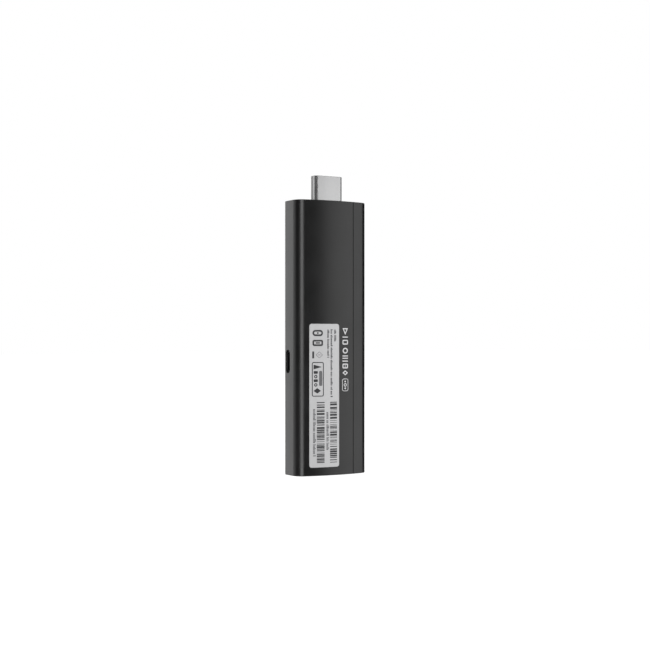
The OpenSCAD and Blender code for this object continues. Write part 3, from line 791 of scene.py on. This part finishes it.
def label_film():
    """The bare film, in its bed in the rear face."""
    body = plates("label_film", [fill(label_corners())], -LABEL_PROUD, LABEL_BED)
    soften(body, width=0.02, segments=2, angle=40)
    finish_piece(body, "label_film", angle=50, stands_for=["rating_label"])


def on_label(u, w):
    """A place on the label, u from its left edge and w down from its top edge."""
    return Vector((label_low.x + u, label_high.z - w))


def label_block(u0, u1, w0, w1):
    """A plain bar on the label."""
    at = on_label((u0 + u1) / 2, (w0 + w1) / 2)
    return block(at.x, at.y, u1 - u0, w1 - w0)


def placed(pairs, at):
    """The points of an outline, moved to a place."""
    return [tuple(p + at) for p, _ in pairs]


def ring(at, w, h, r, line):
    """A rounded rectangle drawn with a line of that width."""
    return frame_of(rounded_rect(w, h, r), at, line)


def disc(at, r):
    """A filled circle."""
    return fill(placed(stadium(2 * r, 2 * r), at))


def tile(at, w, h, r):
    """A filled rounded rectangle."""
    return fill(placed(rounded_rect(w, h, r), at))


def greeked(u, thick, w0, w1, seed):
    """A line of blocks in place of small print, with gaps between its words."""
    draw = random.Random(seed)
    low_block, letter_gap, word_gap = 0.72, 0.16, 0.42
    shapes, w, foot = [], w0, u - thick / 2
    while w < w1:
        for _ in range(draw.randint(3, 9)):
            long = draw.uniform(0.28, 0.5)
            tall = thick * draw.choice((low_block, low_block, 1.0))
            if w + long > w1:
                return shapes
            shapes.append(label_block(foot, foot + tall, w, w + long))
            w += long + letter_gap
        w += word_gap
    return shapes


def bar_column(u0, u1, w0, w1, seed):
    """Upright bars of mixed width, in place of a printed code."""
    draw = random.Random(seed)
    shapes, w = [], w0
    while w < w1:
        long = draw.choice((0.2, 0.2, 0.42, 0.42, 0.64, 0.86))
        shapes.append(label_block(u0, u1, w, min(w + long, w1)))
        w += long + draw.choice((0.22, 0.22, 0.3, 0.44, 0.66))
    return shapes


def diamond(at, w, h):
    """The corners of a diamond that reaches w to each side and h up and down."""
    return [(at.x - w, at.y), (at.x, at.y - h), (at.x + w, at.y), (at.x, at.y + h)]


def label_black():
    """The strong marks of the label: two icons, a bar, the badge and its glyphs, and two codes."""
    first, second, badge = on_label(3.85, 4.0), on_label(3.85, 8.3), on_label(3.89, 24.1)
    icon_w, icon_h, icon_line = 4.9, 2.7, 0.75
    shapes = [ring(first, icon_w, icon_h, 1.34, icon_line), disc(first, 0.4),
              ring(second, icon_w, icon_h, 0.76, icon_line), block(*second, 2.0, 0.55),
              label_block(1.3, 2.15, 12.0, 15.0),
              ring(badge, 5.57, 15.0, 0.8, 0.4)]
    # in the badge: a wedge, a diamond, and tiles and rings in turn
    tip, foot = on_label(5.8, 18.75), on_label(1.9, 18.75)
    shapes.append(fill([(foot.x, foot.y - 1.0), tuple(tip), (foot.x, foot.y + 1.0)]))
    shapes.append(fill(diamond(on_label(3.6, 29.1), 1.7, 1.2)))
    for i, w in enumerate((21.1, 22.9, 24.7, 26.5)):
        spot = on_label(2.9, w)
        shapes.append(ring(spot, 1.5, 1.5, 0.74, 0.42) if i % 2 else tile(spot, 1.9, 1.2, 0.35))
    for u, w0, w1, seed in ((12.3, 2.5, 8.0, 3), (10.5, 2.4, 32.3, 4), (8.85, 2.5, 14.8, 5)):
        shapes += greeked(u, 1.0, w0, w1, seed)
    for u0, u1, w1, seed in ((3.4, 7.05, 60.9, 11), (9.75, 13.2, 60.5, 12)):
        shapes += bar_column(u0, u1, 34.0, w1, seed)
    return shapes


def label_grey():
    """The fainter marks: a thin outlined icon, a filled tab and small print."""
    icon, w, h, inner = on_label(4.55, 13.5), 1.65, 1.45, 0.84
    shapes = [band(diamond(icon, w, h), diamond(icon, w * inner, h * inner)),
              block(*icon, 1.1, 0.22), tile(on_label(5.2, 23.7), 1.5, 6.6, 0.6)]
    for u, w0, w1, seed in ((2.3, 37.0, 58.0, 6), (8.6, 38.5, 55.0, 7)):
        shapes += greeked(u, 1.3, w0, w1, seed)
    return shapes


def label_prints():
    """The two inks of the label."""
    for name, shapes, ink in (("label_marks", label_black(), "label_ink"),
                              ("label_small_marks", label_grey(), "grey_ink")):
        body = plates(name, shapes, -LABEL_PROUD - INK, INK_SUNK - LABEL_PROUD)
        finish_piece(body, "label_film", ink)


def side_print():
    """A row of plain pictograms and an outlined tab beside the label."""
    x, top, line, bar, wide = 5.15, 64.25, 0.5, 0.45, 2.9
    lo, hi = x - wide / 2, x + wide / 2

    def at(down):
        return Vector((x, top - down))

    def outline(points, inner):
        """The band between a shape and the same shape shrunk by inner."""
        c = Vector((sum(p[0] for p in points), sum(p[1] for p in points))) / len(points)
        return band(points, [tuple(c + (Vector(p) - c) * inner) for p in points])

    shapes = [outline([(hi, top), (x, top - 2.95), (lo, top)][::-1], 0.5),
              block(*at(3.9), wide, bar),
              ring(at(6.15), wide, 2.1, 0.55, line),
              ring(at(9.85), wide - 0.2, 2.5, 1.24, line),
              block(*at(12.2), wide, bar), block(*at(13.2), wide, bar),
              block(*at(14.45), wide, bar),
              ring(at(16.6), wide, 2.15, 0.55, line), disc(at(16.6), 0.28),
              outline([(hi, top - 19.6), (x, top - 18.5), (lo, top - 19.6), (x, top - 20.7)], 0.48),
              ring(at(24.9), 3.2, 5.5, 0.9, 0.24),
              disc(at(23.4), 0.4), ring(at(24.9), 1.5, 1.5, 0.74, 0.34), disc(at(26.4), 0.4)]
    body = plates("side_print", shapes, -INK, INK_SUNK)
    finish_piece(body, "label_film", "pale_ink")


# ---- pieces carried over from the CAD frame ---------------------------------------------

def dress_cad_nodes():
    """Every CAD node gets its slot's material, and the small inner parts get softened edges."""
    for part in frame["record"]["subparts"]:
        node = frame["nodes"][part["node"]]
        node.data.materials.clear()
        node.data.materials.append(MATERIALS[part["material_slot"]])
        node.data.shade_smooth()
        node.data.set_sharp_from_angle(angle=math.radians(30))
        soften(node, width=0.03, segments=1, angle=50)


dress_cad_nodes()
rear_housing()
front_housing()
plug_sleeve()
port_shell()
reset_cap()
light_pipe()
label_film()
label_prints()
side_print()


# ---- stage ------------------------------------------------------------------------------

MIDDLE = Vector((0, 0, 0.06))      # of the housing, in metres
FLOOR_GREY, FLOOR_GLOW = 0.5, 0.77


def floor_plane():
    """A wide pale floor, bright enough to run into the white background."""
    reach, cells = 4.0, 8
    step = 2 * reach / cells
    rows = cells + 1
    points = [(i * step - reach, j * step - reach, 0) for j in range(rows) for i in range(rows)]
    faces = [(j * rows + i, j * rows + i + 1, (j + 1) * rows + i + 1, (j + 1) * rows + i)
             for j in range(cells) for i in range(cells)]
    floor = piece("floor", points, faces)
    material, _, shader = node_material("floor_paint")
    shader.inputs["Base Color"].default_value = (FLOOR_GREY, FLOOR_GREY, FLOOR_GREY, 1)
    shader.inputs["Roughness"].default_value = 0.9
    shader.inputs["Specular IOR Level"].default_value = 0.1
    shader.inputs["Emission Color"].default_value = (1, 1, 1, 1)
    shader.inputs["Emission Strength"].default_value = FLOOR_GLOW
    floor.data.materials.append(material)
    floor.visible_glossy = False
    floor.visible_shadow = False


def softbox(name, azimuth, elevation, distance, size, power):
    """A rectangular area light, aimed at the middle of the stick.

    azimuth is the compass angle at which the stick sees it (0 is -Y, 90 is +X). Angles are in
    degrees, distance and size in metres and power in watts.
    """
    a, e = math.radians(azimuth), math.radians(elevation)
    direction = Vector((math.sin(a) * math.cos(e), -math.cos(a) * math.cos(e), math.sin(e)))
    lamp = bpy.data.lights.new(name, "AREA")
    lamp.shape = "RECTANGLE"
    lamp.size, lamp.size_y = size
    lamp.energy = power
    obj = bpy.data.objects.new(name, lamp)
    bpy.context.scene.collection.objects.link(obj)
    obj.location = MIDDLE + direction * distance
    obj.rotation_euler = (-direction).to_track_quat("-Z", "Y").to_euler()
    obj.visible_camera = False


def studio_world():
    """White to the camera and soft white to matte surfaces.

    Reflections see a dark horizon between a dim ceiling and a dim ground.
    """
    world = bpy.data.worlds.new("studio")
    world.use_nodes = True
    nodes, links = world.node_tree.nodes, world.node_tree.links
    ray = nodes.new("ShaderNodeLightPath")
    direction = nodes.new("ShaderNodeTexCoord")
    axes = nodes.new("ShaderNodeSeparateXYZ")
    links.new(direction.outputs["Generated"], axes.inputs["Vector"])
    height = nodes.new("ShaderNodeMath")
    height.operation = "ABSOLUTE"
    links.new(axes.outputs["Z"], height.inputs[0])
    dome = nodes.new("ShaderNodeMapRange")
    dome.interpolation_type = "SMOOTHSTEP"
    for name, value in (("From Min", 0.3), ("From Max", 0.9), ("To Min", 0.01), ("To Max", 0.5)):
        dome.inputs[name].default_value = value
    links.new(height.outputs["Value"], dome.inputs["Value"])
    matte = nodes.new("ShaderNodeMix")
    matte.inputs["A"].default_value = 0.5
    links.new(ray.outputs["Is Glossy Ray"], matte.inputs["Factor"])
    links.new(dome.outputs["Result"], matte.inputs["B"])
    seen = nodes.new("ShaderNodeMix")
    seen.inputs["B"].default_value = 1.0
    links.new(ray.outputs["Is Camera Ray"], seen.inputs["Factor"])
    links.new(matte.outputs["Result"], seen.inputs["A"])
    links.new(seen.outputs["Result"], nodes["Background"].inputs["Strength"])
    nodes["Background"].inputs["Color"].default_value = (1, 1, 1, 1)
    bpy.context.scene.world = world


def main_camera():
    """The main view: level, 30 degrees round towards the port side."""
    data = bpy.data.cameras.new("camera")
    data.lens = 72.0
    data.sensor_width = 36.0
    data.shift_y = 0.0198
    data.clip_start = 0.01
    obj = bpy.data.objects.new("camera", data)
    bpy.context.scene.collection.objects.link(obj)
    obj.location = (-0.2883, -0.4980, 0.060)
    obj.rotation_euler = (math.radians(90), 0, math.radians(-30.03))
    bpy.context.scene.camera = obj


floor_plane()
studio_world()
softbox("back_left", -156, 4, 1.2, (0.75, 1.0), 3.8)
softbox("left_fill", -120, 2, 1.2, (0.55, 1.0), 1.9)
softbox("left_strip", -32, 0, 1.0, (0.5, 1.0), 6.3)
softbox("front_right", 44.5, 0, 1.3, (1.13, 1.1), 6.2)
softbox("overhead", 0, 85, 1.6, (2.0, 2.0), 12)
softbox("back_low", 150, -36, 1.4, (1.7, 1.0), 6.5)
softbox("right_low", 85, -36, 1.4, (1.5, 1.0), 5.5)
softbox("left_low", -86, -36, 1.4, (1.3, 1.0), 4.0)
main_camera()
bpy.context.scene.view_settings.view_transform = "Standard"
